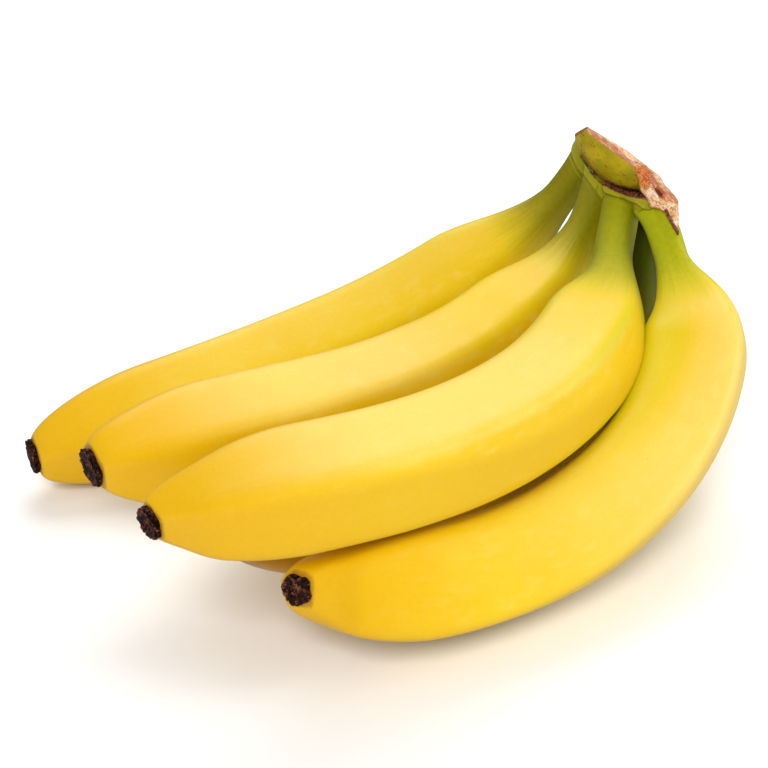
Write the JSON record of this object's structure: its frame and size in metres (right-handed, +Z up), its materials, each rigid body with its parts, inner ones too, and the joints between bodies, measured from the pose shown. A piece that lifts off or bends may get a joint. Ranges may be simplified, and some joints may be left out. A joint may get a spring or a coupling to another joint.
{
  "type": "bunch of bananas",
  "caption": "Bunch of ripe yellow bananas lying on its side, joined at a woody crown, with green stalks and dried dark blossom ends.",
  "frame": {"origin": "bottom centre of the bunch's bounding box, on the surface it lies on", "axes": "+Z up; +X towards the end where the crown is, with the blossom ends towards -X; +Y towards the back, away from the upper row of fruits' tips"},
  "size_m": [0.2364, 0.2047, 0.1012],
  "materials": {
    "peel": "smooth waxy yellow banana peel, slightly mottled, green towards the stalk",
    "dried_flower": "dry, rough, dark brown to black",
    "crown_skin": "olive green skin with a pale orange-brown fibrous cut face and brown scabs"
  },
  "bodies": {
    "root": {"banana_1": "peel", "banana_2": "peel", "banana_3": "peel", "banana_4": "peel", "banana_5": "peel", "blossom_end_1": "dried_flower", "blossom_end_2": "dried_flower", "blossom_end_3": "dried_flower", "blossom_end_4": "dried_flower", "blossom_end_5": "dried_flower", "crown": "crown_skin"}
  },
  "joints": []
}
